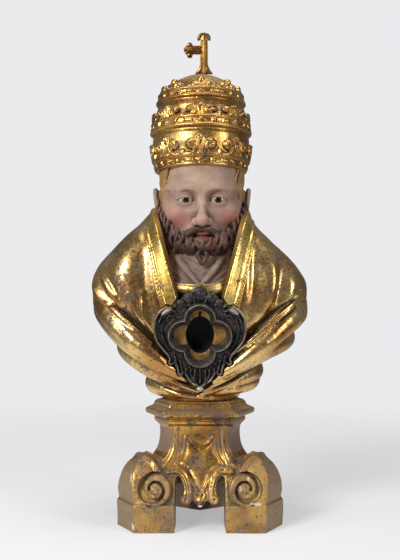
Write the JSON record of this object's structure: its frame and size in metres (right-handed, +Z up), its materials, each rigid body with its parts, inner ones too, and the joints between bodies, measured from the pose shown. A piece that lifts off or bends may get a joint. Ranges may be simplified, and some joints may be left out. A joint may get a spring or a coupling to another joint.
{
  "type": "reliquary bust",
  "caption": "Carved, gilded and painted wooden bust in a tiered crown and cloak, with a framed relic cavity in its chest, on a scrolled tripod base.",
  "frame": {"origin": "on the surface that the feet stand on, under the middle of the object", "axes": "+Z up, -Y towards the front, +X to the right seen from the front"},
  "size_m": [0.2123, 0.1416, 0.4841],
  "materials": {
    "base_gilding": "carved wood with worn water gilding on the panels and bare brown bole and dirt on the sides",
    "bust_gilding": "carved wood with burnished water gilding, painted face, neck and beard, worn and cracked",
    "dark_silvering": "carved wood with blackened silvering rubbed pale along the edges",
    "cross_gilding": "carved wood with dark worn gilding"
  },
  "bodies": {
    "root": {"base": "base_gilding", "bust": "bust_gilding", "reliquary_frame": "dark_silvering", "cross": "cross_gilding"}
  },
  "joints": []
}
